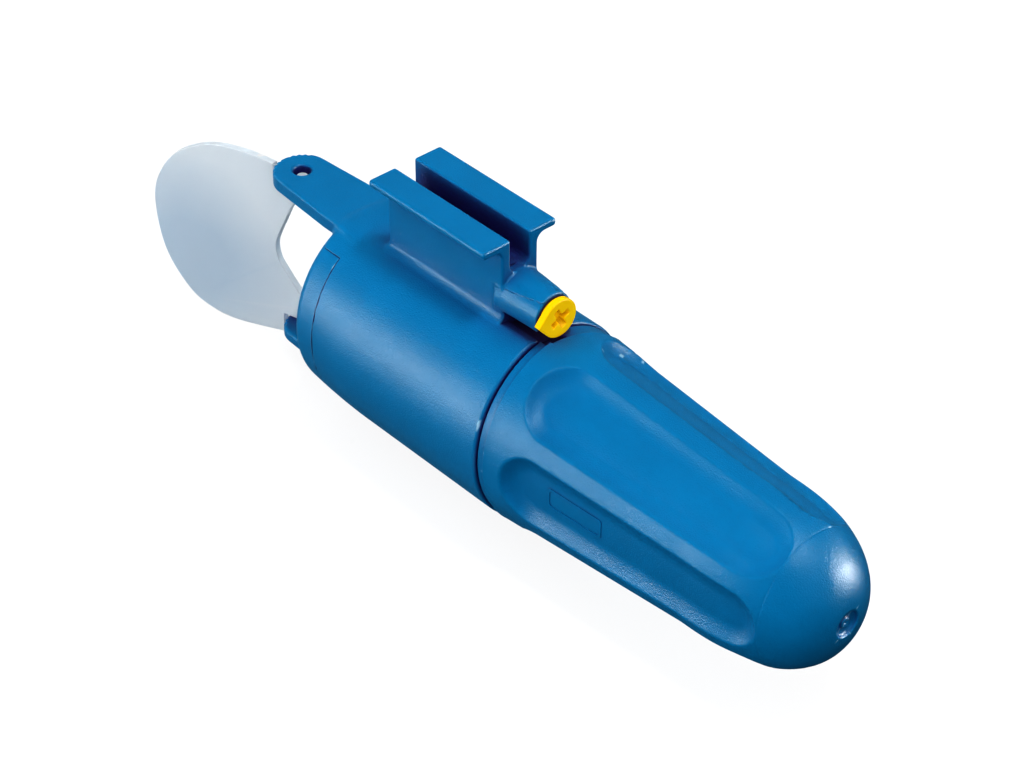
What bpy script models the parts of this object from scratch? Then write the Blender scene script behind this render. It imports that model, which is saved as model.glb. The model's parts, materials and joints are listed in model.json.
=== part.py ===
"""Clip-on battery outboard for a toy boat: oval motor housing, twist-off cap, rudder.

World frame: +X to the nose, +Y to port, +Z up, origin at the middle of the hull rails'
top plane. Every piece is modelled about the point where the body axis crosses the cap
seam, and is then placed there, or at its own joint axis, by its object location.
"""
import math

import bmesh
import bpy
from mathutils import Matrix, Vector

MM = 0.001
TURN = 2.0 * math.pi
GAP = 0.3 * MM

# Place of the seam point in the world.
SEAM = Vector((19.8 * MM, 0.0, -29.7 * MM))

# Oval section of the body, full size at the seam.
BODY_HALF_Y = 15.1 * MM
BODY_HALF_Z = 16.7 * MM
BODY_DROP = 0.15 * MM
BODY_STEPS = 64
WALL = 1.8 * MM

# Towards its rear end the body narrows a little and its belly rises.
REAR_DRAFT_X = -29.0 * MM
REAR_NARROW = 0.5 * MM
REAR_RISE = 1.5 * MM

# Stations along the body axis, measured from the seam.
COVER_REAR_X = -43.2 * MM
COVER_SEAM_X = -38.2 * MM
CAVITY_FRONT_X = -3.2 * MM
SEAM_HALF_GAP = 0.15 * MM
EDGE_ROUND = 0.5 * MM
REAR_ROUND = 1.6 * MM

# Hull rails, two T flanges on a block with a channel between them.
RAIL_REAR_X = -32.65 * MM
RAIL_FRONT_X = -6.92 * MM
RAIL_TOP_Z = 29.7 * MM
RAIL_HALF_WIDTH = 7.05 * MM
RAIL_WALL_Y = 3.46 * MM
RAIL_LIP = 1.3 * MM
RAIL_FILLET = 1.4 * MM
CHANNEL_HALF_WIDTH = 1.86 * MM
CHANNEL_FLOOR_Z = 23.6 * MM
RAIL_ROOT_Z = 13.0 * MM

# Knob barrel in front of the rails.
KNOB_AXIS_Z = 19.7 * MM
BARREL_REAR_R = 4.0 * MM
BARREL_FRONT_R = 3.5 * MM
BARREL_FRONT_X = 0.3 * MM
BARREL_LIP_X = -0.4 * MM
BARREL_LIP_Z = 16.75 * MM
POCKET_REAR_X = -6.6 * MM
POCKET_DEPTH_Y = 1.0 * MM
POCKET_TOP_Z = 18.0 * MM
KNOB_BORE_R = 1.95 * MM
KNOB_BORE_X = -9.2 * MM
SEAL_POCKET_R = 2.65 * MM
SEAL_POCKET_X = -2.8 * MM

# Knob.
KNOB_R = 3.15 * MM
KNOB_TIP_R = 4.1 * MM
KNOB_BACK_X = 0.6 * MM
KNOB_FACE_X = 1.8 * MM
KNOB_STEM_R = 1.6 * MM
KNOB_STEM_X = -8.8 * MM
SLOT_LENGTH = 3.8 * MM
SLOT_WIDTH = 0.95 * MM
SLOT_DEPTH = 1.0 * MM
SLOT_TURN = math.radians(25.0)

# Rudder tabs.
PIVOT_X = -58.1 * MM
TOP_TAB = {"low": 13.3 * MM, "high": 15.9 * MM, "half_width": 5.5 * MM, "end_r": 4.65 * MM}
LOW_TAB = {"low": -16.1 * MM, "high": -14.1 * MM, "half_width": 4.9 * MM, "end_r": 4.3 * MM}
TAB_ROOT_X = -43.0 * MM
TAB_ROOT_REACH = 4.0 * MM
TAB_TAPER_X = -46.0 * MM
TAB_HOLE_R = 1.45 * MM
TAB_HOLE_RIM = 0.35 * MM
TAB_BORE_R = 2.0 * MM
TAB_BORE_DEPTH = 0.65 * MM
DETENT_COUNT = 9
DETENT_PITCH = math.radians(17.0)
DETENT_R = 0.35 * MM
COVER_TOP_Z = TOP_TAB["low"] - GAP
COVER_LOW_Z = LOW_TAB["high"] + GAP

# Rudder, drawn straight behind its pivot and turned to its rest angle.
RUDDER_REST = math.radians(15.0)
RUDDER_THICK = 1.2 * MM
RUDDER_PIN_R = 0.85 * MM
RUDDER_PIN_RISE = 1.2 * MM
RUDDER_NECK = 1.3 * MM
RUDDER_STEP_GAP = 0.45 * MM
RUDDER_FRONT = (
    (1.3, 11.0), (-0.7, 9.9), (-2.1, 8.3), (-3.8, 4.6), (-5.3, 1.2), (-5.7, -0.6), (-5.5, -2.3),
    (-4.8, -3.9), (-1.6, -8.1), (0.2, -9.8), (1.3, -10.8),
)
RUDDER_TAIL = (
    (-5.36, 15.35), (-11.2, 15.55), (-18.4, 14.35), (-25.6, 10.15), (-30.1, 3.15), (-30.6, -3.9),
    (-28.8, -11.1), (-24.4, -16.7), (-19.8, -18.7), (-14.6, -19.0), (-5.06, -17.5),
)

# Battery cap.
CAP_TAPER = 4.5
NOSE_X = 38.6 * MM
NOSE_LENGTH = 21.2 * MM
NOSE_FULLNESS = 2.43
CAP_STEPS = 72
BAND_DROP = 0.4 * MM
BAND_X = 1.5 * MM
RAMP_START_X = 1.9 * MM
RAMP_END_X = 3.3 * MM
RAMP_START = math.radians(96.0)
RAMP_TOP = math.radians(56.0)
RAMP_END = math.radians(20.0)
RECESS_COUNT = 6
RECESS_HALF_ANGLE = math.radians(23.5)
RECESS_REAR_X = 4.9 * MM
RECESS_FRONT_X = 52.3 * MM
RECESS_DEPTH = 2.0 * MM
NOSE_DIMPLE = (
    (2.5 * MM, 0.2 * MM),
    (2.2 * MM, 0.3 * MM),
    (1.8 * MM, 0.75 * MM),
    (1.0 * MM, 0.8 * MM),
    (0.8 * MM, 0.5 * MM),
)
CAP_INSIDE = (
    (56.5 * MM, 5.0 * MM),
    (56.0 * MM, 7.0 * MM),
    (54.6 * MM, 8.5 * MM),
    (50.0 * MM, 8.5 * MM),
    (8.5 * MM, 11.8 * MM),
    (SEAM_HALF_GAP, 11.8 * MM),
)
NOTCH_LOW_Y = -2.4 * MM
NOTCH_HIGH_Y = 1.2 * MM
NOTCH_FRONT_X = 2.1 * MM
NOTCH_FLOOR_Z = 15.2 * MM

# Cell holder, its seal and the round socket of the cap.
SPIGOT_R = 11.4 * MM
SPIGOT_BORE_R = 9.6 * MM
SPIGOT_END_X = 8.0 * MM
HOLDER_REAR_X = -3.0 * MM
HOLDER_FACE_X = -1.0 * MM
HOLDER_FLANGE_R = 11.7 * MM
FRONT_BORE_R = 12.0 * MM
SEAL_X = 4.25 * MM
SEAL_WIRE_R = 0.5 * MM
SEAL_CENTRE_R = 10.95 * MM
SEAL_GROOVE_R = 10.1 * MM
SEAL_GROOVE_HALF = 0.85 * MM

# Cell of the AA size.
CELL_R = 7.25 * MM
CELL_REAR_X = 3.2 * MM
CELL_SHOULDER_X = 52.4 * MM
CELL_TIP_X = 53.7 * MM
CELL_NUB_R = 2.75 * MM

# Shafts and motor.
SHAFT_R = 1.0 * MM
SHAFT_HOLE_R = SHAFT_R + GAP
SHAFT_END_X = -49.3 * MM
SHAFT_SEAL = {"rear": -43.0 * MM, "front": -41.2 * MM, "outer": 2.7 * MM}
SHAFT_BUSH = {"rear": -39.6 * MM, "front": -36.5 * MM, "outer": 2.2 * MM}
CAN_REAR_X = -31.5 * MM
CAN_FRONT_X = -8.0 * MM
CAN_R = 10.05 * MM
CAN_FLAT_Z = 7.55 * MM
CAN_WALL = 0.8 * MM
BELL_REAR_X = -9.0 * MM
BELL_FLANGE_X = -7.7 * MM
BELL_FRONT_X = -6.3 * MM
CORE_REAR_X = -26.0 * MM
CORE_FRONT_X = -15.0 * MM
CORE_R = 6.5 * MM
COIL_COUNT = 3

# Propeller.
HUB_R = 2.4 * MM
HUB_FRONT_X = -44.3 * MM
HUB_REAR_X = -48.0 * MM
BLADE_COUNT = 3
BLADE_PITCH = 20.0 * MM
BLADE_THICK = 1.1 * MM


# ---------------------------------------------------------------- materials

def make_material(name, colour, roughness, metallic=0.0, alpha=1.0, transmission=0.0):
    material = bpy.data.materials.new(name)
    material.use_nodes = True
    shader = material.node_tree.nodes["Principled BSDF"]
    shader.inputs["Base Color"].default_value = (*colour, 1.0)
    shader.inputs["Roughness"].default_value = roughness
    shader.inputs["Metallic"].default_value = metallic
    shader.inputs["Alpha"].default_value = alpha
    shader.inputs["Transmission Weight"].default_value = transmission
    material.diffuse_color = (*colour, alpha)
    return material


FINISHES = {
    "blue_plastic": ((0.004, 0.162, 0.434), 0.45),
    "clear_plastic": ((0.50, 0.58, 0.64), 0.30, 0.0, 0.6, 0.5),
    "yellow_plastic": ((0.89, 0.62, 0.006), 0.35),
    "dark_plastic": ((0.03, 0.03, 0.035), 0.5),
    "white_plastic": ((0.70, 0.69, 0.65), 0.45),
    "rubber": ((0.015, 0.015, 0.015), 0.8),
    "steel": ((0.55, 0.56, 0.57), 0.3, 1.0),
    "brass": ((0.70, 0.50, 0.20), 0.3, 1.0),
    "copper": ((0.75, 0.33, 0.16), 0.35, 1.0),
    "ferrite": ((0.06, 0.055, 0.05), 0.7),
    "cell_sleeve": ((0.25, 0.26, 0.28), 0.35, 0.3),
}


# ------------------------------------------------------------- mesh helpers

def finish(name, mesh_data, finish_name, location=SEAM, angle=30.0):
    """Makes the named object, shaded smooth up to the given edge angle."""
    mesh = bpy.data.meshes.new(name)
    bmesh.ops.recalc_face_normals(mesh_data, faces=mesh_data.faces)
    mesh_data.to_mesh(mesh)
    mesh_data.free()
    mesh.shade_smooth()
    mesh.set_sharp_from_angle(angle=math.radians(angle))
    mesh.materials.append(make_material(name, *FINISHES[finish_name]))
    piece = bpy.data.objects.new(name, mesh)
    piece.location = location
    bpy.context.scene.collection.objects.link(piece)
    return piece


def combine(piece, mesh_data, operation):
    """Applies one exact boolean of a tool mesh, given about the same origin, to a piece."""
    tool_mesh = bpy.data.meshes.new("tool")
    bmesh.ops.recalc_face_normals(mesh_data, faces=mesh_data.faces)
    mesh_data.to_mesh(tool_mesh)
    mesh_data.free()
    tool = bpy.data.objects.new("tool", tool_mesh)
    tool.matrix_basis = piece.matrix_basis
    tool.hide_render = True
    tool.display_type = "WIRE"
    bpy.context.scene.collection.objects.link(tool)
    modifier = piece.modifiers.new("combine", "BOOLEAN")
    modifier.operation = operation
    modifier.solver = "EXACT"
    modifier.object = tool
    graph = bpy.context.evaluated_depsgraph_get()
    result = bpy.data.meshes.new_from_object(piece.evaluated_get(graph))
    piece.modifiers.clear()
    old = piece.data
    piece.data = result
    bpy.data.meshes.remove(old)
    result.name = piece.name
    bpy.data.objects.remove(tool)
    bpy.data.meshes.remove(tool_mesh)


def join(piece, mesh_data):
    combine(piece, mesh_data, "UNION")


def cut(piece, mesh_data):
    combine(piece, mesh_data, "DIFFERENCE")


def loft(rings, closed=False):
    """Skins equal rings of points. A closed loft joins its last ring to its first."""
    mesh_data = bmesh.new()
    levels = []
    for ring in rings:
        if len(ring) == 1:
            levels.append([mesh_data.verts.new(ring[0])])
        else:
            levels.append([mesh_data.verts.new(point) for point in ring])
    pairs = list(zip(levels, levels[1:]))
    if closed:
        pairs.append((levels[-1], levels[0]))
    for low, high in pairs:
        skin(mesh_data, low, high)
    if not closed:
        for level in (levels[0], levels[-1]):
            if len(level) > 1:
                mesh_data.faces.new(level)
    return mesh_data


def skin(mesh_data, low, high):
    count = max(len(low), len(high))
    for index in range(count):
        after = (index + 1) % count
        if len(low) == 1:
            corners = (low[0], high[after], high[index])
        elif len(high) == 1:
            corners = (low[index], low[after], high[0])
        else:
            corners = (low[index], low[after], high[after], high[index])
        mesh_data.faces.new(corners)


def turned(profile, steps=32, hollow=False, centre=(0.0, 0.0)):
    """Turns (x, radius) points about an axis along X through the centre (y, z)."""
    rings = []
    for x, radius in profile:
        if radius <= 0.0:
            rings.append([Vector((x, *centre))])
            continue
        ring = []
        for step in range(steps):
            angle = TURN * step / steps
            y = centre[0] + radius * math.cos(angle)
            z = centre[1] + radius * math.sin(angle)
            ring.append(Vector((x, y, z)))
        rings.append(ring)
    return loft(rings, closed=hollow)


def rod(x_low, x_high, radius, steps=32, centre=(0.0, 0.0)):
    return turned([(x_low, radius), (x_high, radius)], steps, centre=centre)


def tube(x_low, x_high, inner, outer, steps=32):
    profile = [(x_low, inner), (x_low, outer), (x_high, outer), (x_high, inner)]
    return turned(profile, steps, hollow=True)


def along_x(outline, x_low, x_high):
    """Extrudes a (y, z) outline along X."""
    return loft([[Vector((x, y, z)) for y, z in outline] for x in (x_low, x_high)])


def along_y(outline, y_low, y_high):
    """Extrudes an (x, z) outline along Y."""
    return loft([[Vector((x, y, z)) for x, z in outline] for y in (y_low, y_high)])


def along_z(outline, z_low, z_high):
    """Extrudes an (x, y) outline along Z."""
    return loft([[Vector((x, y, z)) for x, y in outline] for z in (z_low, z_high)])


def block(low, high):
    outline = [(low[1], low[2]), (high[1], low[2]), (high[1], high[2]), (low[1], high[2])]
    return along_x(outline, low[0], high[0])


def arc(centre, radius, start, end, steps):
    """Points of an arc, angles in degrees, both ends included."""
    points = []
    for step in range(steps + 1):
        angle = math.radians(start + (end - start) * step / steps)
        x = centre[0] + radius * math.cos(angle)
        y = centre[1] + radius * math.sin(angle)
        points.append((x, y))
    return points


# ------------------------------------------------------------ body section

def oval(scale, inset=0.0, steps=BODY_STEPS):
    """The body's (y, z) section, scaled about the body axis and then inset."""
    points = []
    for step in range(steps):
        angle = TURN * step / steps
        y = (BODY_HALF_Y * scale - inset) * math.cos(angle)
        z = (BODY_HALF_Z * scale - inset) * math.sin(angle) - BODY_DROP * scale
        points.append((y, z))
    return points


def oval_ring(x, inset=0.0):
    """Section of the housing at a station, with the draft of its rear end."""
    share = min(max((REAR_DRAFT_X - x) / (REAR_DRAFT_X - COVER_REAR_X), 0.0), 1.0) ** 2
    ring = []
    for y, z in oval(1.0, inset):
        y *= 1.0 - REAR_NARROW * share / BODY_HALF_Y
        if z < 0.0:
            z *= 1.0 - REAR_RISE * share / BODY_HALF_Z
        ring.append(Vector((x, y, z)))
    return ring


# ------------------------------------------------------------------ housing

def rail_outline():
    """Half T section mirrored: flange top, rounded root fillet, block sides."""
    lip_z = RAIL_TOP_Z - RAIL_LIP
    fillet_centre = (RAIL_WALL_Y + RAIL_FILLET, lip_z - RAIL_FILLET)
    half = [(RAIL_HALF_WIDTH, RAIL_TOP_Z), (RAIL_HALF_WIDTH, lip_z)]
    half += arc(fillet_centre, RAIL_FILLET, 90.0, 180.0, 5)
    half.append((RAIL_WALL_Y, RAIL_ROOT_Z))
    return half + [(-y, z) for y, z in reversed(half)]


def barrel_lip_outline():
    """Round end of the barrel, cut level over the cap's rim."""
    radius = BARREL_FRONT_R - 0.02 * MM
    dip = math.degrees(math.asin((KNOB_AXIS_Z - BARREL_LIP_Z) / radius))
    return arc((0.0, KNOB_AXIS_Z), radius, -dip, 180.0 + dip, 32)


def channel_outline():
    floor_centre = (0.0, CHANNEL_FLOOR_Z + CHANNEL_HALF_WIDTH)
    floor = arc(floor_centre, CHANNEL_HALF_WIDTH, 180.0, 360.0, 10)
    top = RAIL_TOP_Z + 1.0 * MM
    return floor + [(CHANNEL_HALF_WIDTH, top), (-CHANNEL_HALF_WIDTH, top)]


def tab_outline(tab):
    """Plan of a rudder tab: a root that runs out into the housing, round end with detents."""
    points = []
    for step in range(1, 8):
        angle = TURN / 4.0 * step / 8
        x = TAB_ROOT_X + TAB_ROOT_REACH * math.cos(angle)
        points.append((x, tab["half_width"] * math.sin(angle)))
    root = points[::-1]
    points += [(TAB_ROOT_X, tab["half_width"]), (TAB_TAPER_X, tab["half_width"])]
    reach = DETENT_COUNT * DETENT_PITCH / 2.0
    steps = DETENT_COUNT * 6
    for step in range(steps + 1):
        swing = -reach + 2.0 * reach * step / steps
        notch = 0.5 - 0.5 * math.cos(TURN * (swing + reach) / DETENT_PITCH)
        radius = tab["end_r"] - DETENT_R * notch
        angle = math.pi + swing
        points.append((PIVOT_X + radius * math.cos(angle), radius * math.sin(angle)))
    points += [(TAB_TAPER_X, -tab["half_width"]), (TAB_ROOT_X, -tab["half_width"])]
    return points + [(x, -y) for x, y in root[:-1]] + [(TAB_ROOT_X + TAB_ROOT_REACH, 0.0)]


def tab_hole(inner, outer):
    """Stepped hole from a tab's inner face to its outer one, wider where the rudder's pin goes in."""
    way = 1.0 if outer > inner else -1.0
    profile = [
        (inner - way * MM, TAB_BORE_R),
        (inner + way * TAB_BORE_DEPTH, TAB_BORE_R),
        (inner + way * TAB_BORE_DEPTH, TAB_HOLE_R),
        (outer - way * TAB_HOLE_RIM, TAB_HOLE_R),
        (outer + way * TAB_HOLE_RIM, TAB_HOLE_R + 2.0 * TAB_HOLE_RIM),
    ]
    rings = []
    for z, radius in profile[::int(way)]:
        circle = arc((PIVOT_X, 0.0), radius, 0.0, 348.75, 31)
        rings.append([Vector((x, y, z)) for x, y in circle])
    return loft(rings)


def make_housing():
    front = -SEAM_HALF_GAP
    stations = (REAR_DRAFT_X, front - EDGE_ROUND)
    rings = rear_end_rings() + [oval_ring(x) for x in stations] + [oval_ring(front, EDGE_ROUND)]
    housing = finish("motor_housing", loft(rings), "blue_plastic")
    for tab, low_extra, high_extra in ((TOP_TAB, MM, 0.0), (LOW_TAB, 0.0, MM)):
        join(housing, along_z(tab_outline(tab), tab["low"] - low_extra, tab["high"] + high_extra))
    slot_low = (PIVOT_X - BODY_HALF_Y, -BODY_HALF_Y - MM, LOW_TAB["high"])
    cut(housing, block(slot_low, (COVER_SEAM_X, BODY_HALF_Y + MM, TOP_TAB["low"])))
    join(housing, along_x(rail_outline(), RAIL_REAR_X, RAIL_FRONT_X))
    barrel_profile = [
        (RAIL_FRONT_X - MM, RAIL_WALL_Y - GAP),
        (RAIL_FRONT_X - GAP, BARREL_REAR_R),
        (BARREL_LIP_X, BARREL_FRONT_R),
    ]
    join(housing, turned(barrel_profile, 40, centre=(0.0, KNOB_AXIS_Z)))
    join(housing, along_x(barrel_lip_outline(), BARREL_LIP_X - GAP, BARREL_FRONT_X))
    web_half = BARREL_FRONT_R - GAP
    web_low = (RAIL_FRONT_X - MM, -web_half, RAIL_ROOT_Z)
    join(housing, block(web_low, (BARREL_LIP_X - GAP, web_half, KNOB_AXIS_Z)))
    cut(housing, along_x(channel_outline(), RAIL_REAR_X - MM, RAIL_FRONT_X + 0.02 * MM))
    pocket_low = (POCKET_REAR_X, -BARREL_REAR_R - MM, RAIL_ROOT_Z + 2.9 * MM)
    cut(housing, block(pocket_low, (front + MM, POCKET_DEPTH_Y, POCKET_TOP_Z)))
    cavity = [oval_ring(x, WALL) for x in (COVER_SEAM_X - GAP, REAR_DRAFT_X, CAVITY_FRONT_X)]
    cut(housing, loft(cavity))
    cut(housing, rod(CAVITY_FRONT_X - MM, front + MM, FRONT_BORE_R, 48))
    knob_bore = [
        (KNOB_BORE_X, KNOB_BORE_R),
        (SEAL_POCKET_X, KNOB_BORE_R),
        (SEAL_POCKET_X, SEAL_POCKET_R),
        (BARREL_FRONT_X + MM, SEAL_POCKET_R),
    ]
    cut(housing, turned(knob_bore, 32, centre=(0.0, KNOB_AXIS_Z)))
    cut(housing, tab_hole(TOP_TAB["low"], TOP_TAB["high"]))
    cut(housing, tab_hole(LOW_TAB["high"], LOW_TAB["low"]))
    return housing


def rear_end_rings():
    """Rings of the rounded rear end, from the rear face forwards."""
    rings = []
    for step in range(5):
        angle = math.pi / 2.0 * step / 4
        x = COVER_REAR_X + REAR_ROUND * (1.0 - math.cos(angle))
        rings.append(oval_ring(x, REAR_ROUND * (1.0 - math.sin(angle))))
    return rings


def make_rear_cover():
    rings = rear_end_rings() + [oval_ring(COVER_SEAM_X - GAP)]
    cover = finish("rear_cover", loft(rings), "blue_plastic")
    plug = [oval_ring(COVER_SEAM_X - MM, WALL + GAP), oval_ring(COVER_SEAM_X + 1.8 * MM, WALL + GAP)]
    join(cover, loft(plug))
    far = 30.0 * MM
    cut(cover, block((-far * 2, -far, COVER_TOP_Z), (0.0, far, far)))
    cut(cover, block((-far * 2, -far, -far), (0.0, far, COVER_LOW_Z)))
    bore = [
        (COVER_REAR_X - MM, SHAFT_SEAL["outer"] + GAP),
        (SHAFT_SEAL["front"] + GAP, SHAFT_SEAL["outer"] + GAP),
        (SHAFT_SEAL["front"] + GAP, SHAFT_HOLE_R + 0.05 * MM),
        (SHAFT_BUSH["rear"] - GAP, SHAFT_HOLE_R + 0.05 * MM),
        (SHAFT_BUSH["rear"] - GAP, SHAFT_BUSH["outer"] + GAP),
        (COVER_SEAM_X + 3.0 * MM, SHAFT_BUSH["outer"] + GAP),
    ]
    cut(cover, turned(bore))
    return cover


# ---------------------------------------------------------------- lock knob

def knob_outline():
    """Round head whose rim runs out to a point on its -Y side."""
    reach = math.degrees(math.acos(KNOB_R / KNOB_TIP_R))
    return arc((0.0, 0.0), KNOB_R, -180.0 + reach, 180.0 - reach, 28) + [(-KNOB_TIP_R, 0.0)]


def slot_outline(turn):
    """One arm of the cross recess, turned about the knob's axis."""
    corners = []
    for u, v in ((1.0, 1.0), (-1.0, 1.0), (-1.0, -1.0), (1.0, -1.0)):
        along = u * SLOT_LENGTH / 2.0
        across = v * SLOT_WIDTH / 2.0
        y = along * math.cos(turn) - across * math.sin(turn)
        z = along * math.sin(turn) + across * math.cos(turn)
        corners.append((y, z))
    return corners


def make_knob():
    location = SEAM + Vector((0.0, 0.0, KNOB_AXIS_Z))
    head = along_x(knob_outline(), KNOB_BACK_X, KNOB_FACE_X)
    knob = finish("lock_knob", head, "yellow_plastic", location)
    join(knob, rod(KNOB_STEM_X, KNOB_BACK_X + 0.5 * MM, KNOB_STEM_R, 24))
    for turn in (SLOT_TURN, SLOT_TURN + TURN / 4.0):
        cut(knob, along_x(slot_outline(turn), KNOB_FACE_X - SLOT_DEPTH, KNOB_FACE_X + MM))
    seal = ring_of_wire(-1.95 * MM, KNOB_STEM_R + GAP + 0.2 * MM, 0.2 * MM, 24)
    finish("knob_seal", seal, "rubber", location)


def ring_of_wire(x, centre_r, wire_r, steps):
    profile = [(x + wire_r * math.cos(a), centre_r + wire_r * math.sin(a))
               for a in (TURN * k / 8 for k in range(8))]
    return turned(profile, steps, hollow=True)


# ------------------------------------------------------------------- rudder

def rudder_outline():
    """(x, z) outline about the pivot, with a step above and below that clears the tabs."""
    top_z = TOP_TAB["low"] - GAP - 0.1 * MM
    low_z = LOW_TAB["high"] + GAP
    top_step = -TOP_TAB["end_r"] - RUDDER_STEP_GAP
    low_step = -LOW_TAB["end_r"] - RUDDER_STEP_GAP
    front = smooth_path([(x * MM, z * MM) for x, z in RUDDER_FRONT], 3)
    tail = smooth_path([(x * MM, z * MM) for x, z in RUDDER_TAIL[::-1]], 4)
    above = [(top_step, top_z), (RUDDER_NECK, top_z)]
    below = [(RUDDER_NECK, low_z), (low_step, low_z)]
    return above + front + below + tail


def make_rudder():
    half = RUDDER_THICK / 2.0
    location = SEAM + Vector((PIVOT_X, 0.0, 0.0))
    blade = along_y(rudder_outline(), -half, half)
    rudder = finish("rudder", blade, "clear_plastic", location)
    pin = arc((0.0, 0.0), RUDDER_PIN_R, 0.0, 345.0, 23)
    join(rudder, along_z(pin, TOP_TAB["low"] - MM, TOP_TAB["low"] + RUDDER_PIN_RISE))
    join(rudder, along_z(pin, LOW_TAB["high"] - RUDDER_PIN_RISE, LOW_TAB["high"] + MM))
    rudder.rotation_euler.z = RUDDER_REST


def smooth_path(corners, steps):
    """Open Catmull-Rom curve through the corners, its ends included."""
    points = []
    padded = [corners[0]] + list(corners) + [corners[-1]]
    for index in range(len(corners) - 1):
        before, start, end, after = (Vector(padded[index + k]) for k in range(4))
        for step in range(steps):
            t = step / steps
            bend = 2 * before - 5 * start + 4 * end - after
            twist = 3 * start - before - 3 * end + after
            points.append(0.5 * (2 * start + (end - before) * t + bend * t * t + twist * t ** 3))
    points.append(Vector(corners[-1]))
    return [tuple(point) for point in points]


# -------------------------------------------------------------- battery cap

def cap_scale(x):
    """Size of the section at a station: a straight taper, then the round nose."""
    straight = 1.0 - CAP_TAPER * min(x, NOSE_X)
    share = min(max((x - NOSE_X) / NOSE_LENGTH, 0.0), 1.0)
    return straight * (1.0 - share ** NOSE_FULLNESS) ** (1.0 / NOSE_FULLNESS)


def recess_depth(x, angle, scale):
    """Depth of the long finger recesses, spoon-shaped at both ends."""
    pitch = TURN / RECESS_COUNT
    offset = (angle + pitch / 2.0) % pitch - pitch / 2.0
    half_width = RECESS_HALF_ANGLE * BODY_HALF_Y * scale
    across = offset / RECESS_HALF_ANGLE
    rear = max(RECESS_REAR_X + half_width - x, 0.0) / half_width
    front = max(x - RECESS_FRONT_X + half_width, 0.0) / half_width
    inside = 1.0 - across ** 2 - rear ** 2 - front ** 2
    return RECESS_DEPTH * scale * max(inside, 0.0)


def cap_point(x, angle, drop=0.0):
    scale = cap_scale(x)
    y = BODY_HALF_Y * scale * math.cos(angle)
    z = BODY_HALF_Z * scale * math.sin(angle) - BODY_DROP * scale
    radius = math.hypot(y, z)
    depth = recess_depth(x, math.atan2(z, y), scale) + drop
    return Vector((x, y * (radius - depth) / radius, z * (radius - depth) / radius))


def band_edge(angle):
    """Front edge of the rim band: level, a step under the knob, then a ramp to port."""
    if RAMP_TOP <= angle <= RAMP_START:
        share = (RAMP_START - angle) / (RAMP_START - RAMP_TOP)
        return RAMP_START_X + (RAMP_END_X - RAMP_START_X) * share
    if RAMP_END <= angle < RAMP_TOP:
        share = (angle - RAMP_END) / (RAMP_TOP - RAMP_END)
        return BAND_X + (RAMP_END_X - BAND_X) * share * share * (3.0 - 2.0 * share)
    return BAND_X


def make_cap():
    angles = [TURN * step / CAP_STEPS for step in range(CAP_STEPS)]
    rear = SEAM_HALF_GAP
    step_rise = 0.2 * MM
    rings = [
        [cap_point(rear, angle, BAND_DROP) for angle in angles],
        [cap_point(band_edge(angle), angle, BAND_DROP) for angle in angles],
        [cap_point(band_edge(angle) + step_rise, angle) for angle in angles],
    ]
    body_stations = 16
    body_start = 5.5 * MM
    for step in range(body_stations + 1):
        x = body_start + (NOSE_X - body_start) * step / body_stations
        rings.append([cap_point(x, angle) for angle in angles])
    nose_stations = 14
    for step in range(1, nose_stations + 1):
        share = math.sin(math.radians(79.0) * step / nose_stations)
        x = NOSE_X + NOSE_LENGTH * share
        rings.append([cap_point(x, angle) for angle in angles])
    tip_x = NOSE_X + NOSE_LENGTH
    for radius, depth in NOSE_DIMPLE:
        ring = [(radius * math.cos(a), radius * math.sin(a)) for a in angles]
        rings.append([Vector((tip_x - depth, y, z)) for y, z in ring])
    rings.append([Vector((tip_x - NOSE_DIMPLE[-1][1], 0.0, 0.0))])
    inner_rings = [[Vector((CAP_INSIDE[0][0], 0.0, 0.0))]]
    for x, radius in CAP_INSIDE:
        inner_rings.append([Vector((x, radius * math.cos(a), radius * math.sin(a))) for a in angles])
    mesh_data = bmesh.new()
    outer_levels = [[mesh_data.verts.new(point) for point in ring] for ring in rings]
    inner_levels = [[mesh_data.verts.new(point) for point in ring] for ring in inner_rings]
    for levels in (outer_levels, inner_levels):
        for low, high in zip(levels, levels[1:]):
            skin(mesh_data, low, high)
    skin(mesh_data, outer_levels[0], inner_levels[-1])
    cap = finish("battery_cap", mesh_data, "blue_plastic", angle=25.0)
    notch_low = (-MM, NOTCH_LOW_Y, NOTCH_FLOOR_Z)
    cut(cap, block(notch_low, (NOTCH_FRONT_X, NOTCH_HIGH_Y, BODY_HALF_Z + MM)))
    return cap


def make_cap_contact():
    """Spring strip from the nose, along the top of the cell, to the collector ring."""
    half_width = 1.5 * MM
    strip_low = 7.6 * MM
    strip_high = 7.85 * MM
    strip = block((-0.1 * MM, -half_width, strip_low), (54.4 * MM, half_width, strip_high))
    contact = finish("positive_strip", strip, "brass")
    plate_x = 54.1 * MM
    join(contact, block((plate_x, -half_width, -3.5 * MM), (plate_x + 0.3 * MM, half_width, strip_high)))
    return contact


# ---------------------------------------------------- cell and cell holder

def make_cell():
    can = [
        (CELL_REAR_X, 4.6 * MM),
        (CELL_REAR_X + 0.5 * MM, CELL_R),
        (CELL_SHOULDER_X - 0.5 * MM, CELL_R),
        (CELL_SHOULDER_X, CELL_R - 0.6 * MM),
    ]
    finish("cell_can", turned(can, 40), "cell_sleeve")
    nub_x = CELL_SHOULDER_X + GAP
    nub = [
        (nub_x, CELL_NUB_R + 0.4 * MM),
        (nub_x + 0.2 * MM, CELL_NUB_R),
        (CELL_TIP_X, CELL_NUB_R - 0.3 * MM),
    ]
    finish("cell_positive_cap", turned(nub, 24), "steel")


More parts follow.
